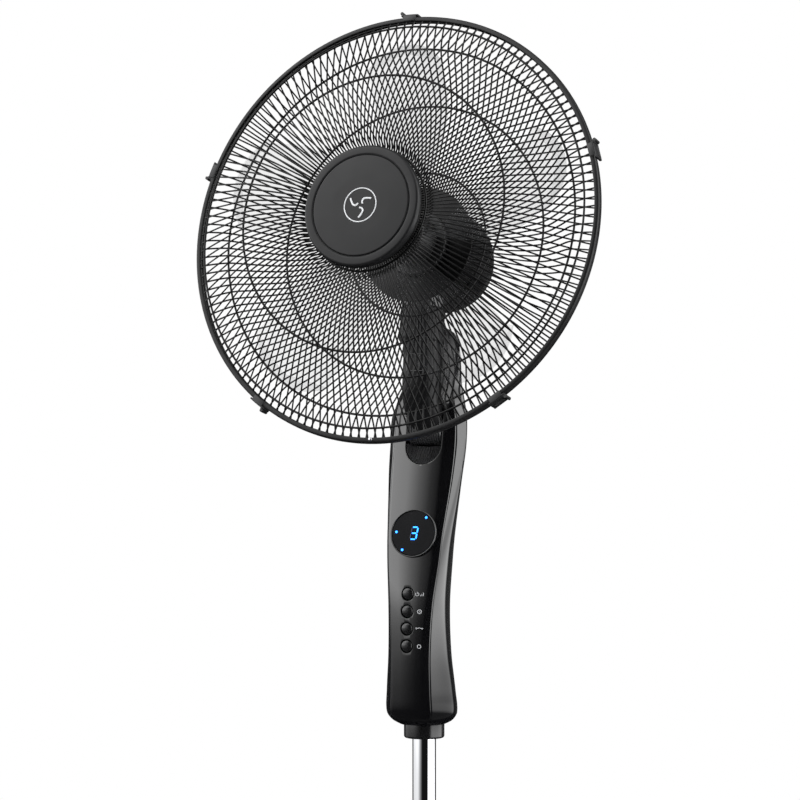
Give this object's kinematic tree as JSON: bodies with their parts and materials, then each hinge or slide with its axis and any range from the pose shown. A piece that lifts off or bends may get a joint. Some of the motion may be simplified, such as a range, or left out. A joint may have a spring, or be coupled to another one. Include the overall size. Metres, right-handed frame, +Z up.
{
  "type": "pedestal fan",
  "caption": "Floor-standing pedestal fan with a round weighted base, telescopic pole, glossy control housing with display and buttons, tilting neck and a swinging guarded head.",
  "frame": {"origin": "on the floor, under the pole's axis, at the middle of the base", "axes": "+Z up, -Y the way the fan blows, +X to the right of someone facing the fan"},
  "size_m": [0.4399, 0.39, 1.2604],
  "materials": {
    "foot": "matte",
    "base_gloss": "gloss black",
    "satin": "satin black",
    "gloss": "piano black",
    "weight": "as cast",
    "chrome": "polished",
    "steel": "bright",
    "pole": "gloss black",
    "wire": "black coated wire",
    "blade": "clear smoke",
    "copper": "enamelled copper",
    "screen": "dark window",
    "board": "printed circuit board"
  },
  "bodies": {
    "stand": {"foot_1": "foot", "foot_2": "foot", "foot_3": "foot", "foot_4": "foot", "base_plate": "satin", "base_weight": "weight", "base_cover": "base_gloss", "pole_nut": "satin", "lower_pole": "pole", "height_collet": "satin"},
    "height_nut": {"height_nut": "satin"},
    "mast": {"upper_pole": "chrome", "mast_bush": "satin", "pole_collar": "satin", "housing_front": "gloss", "housing_rear": "gloss", "display_bezel": "satin", "display_lens": "screen", "display_board": "board", "button_board": "board", "main_board": "board", "cord_gland": "foot", "tilt_bracket": "steel", "tilt_pin": "steel", "housing_screw_1": "steel", "housing_screw_2": "steel"},
    "button_speed": {"button_speed": "satin"},
    "button_timer": {"button_timer": "satin"},
    "button_swing": {"button_swing": "satin"},
    "button_off": {"button_off": "satin"},
    "neck": {"neck_front": "satin", "neck_rear": "satin", "swing_bush": "satin", "swing_anchor_pin": "steel"},
    "head": {"motor_front_cover": "gloss", "motor_rear_cover": "gloss", "stator": "copper", "motor_bracket": "steel", "front_bearing": "steel", "rear_bearing": "steel", "rear_guard": "wire", "guard_nut": "satin", "guard_ring": "satin", "front_guard": "wire", "front_cap": "satin", "cap_badge": "satin", "ring_screw": "steel", "swing_shaft": "steel", "swing_motor": "steel"},
    "rotor": {"motor_shaft": "steel", "rotor_core": "weight", "fan_blade": "blade", "blade_nut": "satin"},
    "swing_crank": {"swing_crank": "satin"},
    "swing_link": {"swing_link": "steel"},
    "clip_1": {"clip_1": "satin"},
    "clip_2": {"clip_2": "satin"},
    "clip_3": {"clip_3": "satin"},
    "clip_4": {"clip_4": "satin"},
    "clip_5": {"clip_5": "satin"}
  },
  "joints": [
    {"name": "height_slide", "type": "slide", "parent": "stand", "child": "mast", "axis": [0, 0, 1], "range_m": [-0.07, 0.06]},
    {"name": "height_nut_turn", "type": "hinge", "parent": "stand", "child": "height_nut", "pos_m": [0, 0, 0.43], "axis": [0, 0, 1], "range_deg": [0, 120]},
    {"name": "tilt", "type": "hinge", "parent": "mast", "child": "neck", "pos_m": [0, 0.015, 0.838], "axis": [-1, 0, 0], "range_deg": [-22, 8]},
    {"name": "swing", "type": "hinge", "parent": "neck", "child": "head", "pos_m": [0, -0.006, 0.942], "axis": [0, 0.2351, 0.972], "range_deg": [-36.5, 43.5]},
    {"name": "fan_spin", "type": "hinge", "parent": "head", "child": "rotor", "pos_m": [-0.00531, -0.0719, 1.03891], "axis": [-0.061, -0.9701, 0.2347], "continuous": true},
    {"name": "crank_turn", "type": "hinge", "parent": "head", "child": "swing_crank", "pos_m": [0.00244, 0.04221, 0.97149], "axis": [0, 0.2351, 0.972], "range_deg": [-45, 40]},
    {"name": "link_turn", "type": "hinge", "parent": "neck", "child": "swing_link", "pos_m": [0.015, 0.00247, 0.97699], "axis": [0, 0.2351, 0.972], "range_deg": [-40, 45]},
    {"name": "button_speed_press", "type": "slide", "parent": "mast", "child": "button_speed", "axis": [0, 1, 0], "range_m": [0, 0.0015], "stiffness_N_per_m": 250},
    {"name": "button_timer_press", "type": "slide", "parent": "mast", "child": "button_timer", "axis": [0, 1, 0], "range_m": [0, 0.0015], "stiffness_N_per_m": 250},
    {"name": "button_swing_press", "type": "slide", "parent": "mast", "child": "button_swing", "axis": [0, 1, 0], "range_m": [0, 0.0015], "stiffness_N_per_m": 250},
    {"name": "button_off_press", "type": "slide", "parent": "mast", "child": "button_off", "axis": [0, 1, 0], "range_m": [0, 0.0015], "stiffness_N_per_m": 250},
    {"name": "clip_1_open", "type": "hinge", "parent": "head", "child": "clip_1", "pos_m": [0.20589, -0.06092, 1.10684], "axis": [-0.3084, 0.242, 0.92], "range_deg": [0, 95]},
    {"name": "clip_2_open", "type": "hinge", "parent": "head", "child": "clip_2", "pos_m": [-0.00485, -0.01232, 1.2529], "axis": [-0.9981, 0.0593, -0.0144], "range_deg": [0, 95]},
    {"name": "clip_3_open", "type": "hinge", "parent": "head", "child": "clip_3", "pos_m": [-0.21559, -0.03587, 1.10078], "axis": [-0.3084, -0.2053, -0.9288], "range_deg": [0, 95]},
    {"name": "clip_4_open", "type": "hinge", "parent": "head", "child": "clip_4", "pos_m": [-0.13509, -0.09901, 0.86069], "axis": [0.8075, -0.1862, -0.5597], "range_deg": [0, 95]},
    {"name": "clip_5_open", "type": "hinge", "parent": "head", "child": "clip_5", "pos_m": [0.1254, -0.1145, 0.86444], "axis": [0.8075, 0.0902, 0.5829], "range_deg": [0, 95]}
  ],
  "couplings": [
    {"joint": "crank_turn", "follows": "swing", "ratio": -1},
    {"joint": "link_turn", "follows": "swing", "ratio": 1}
  ]
}
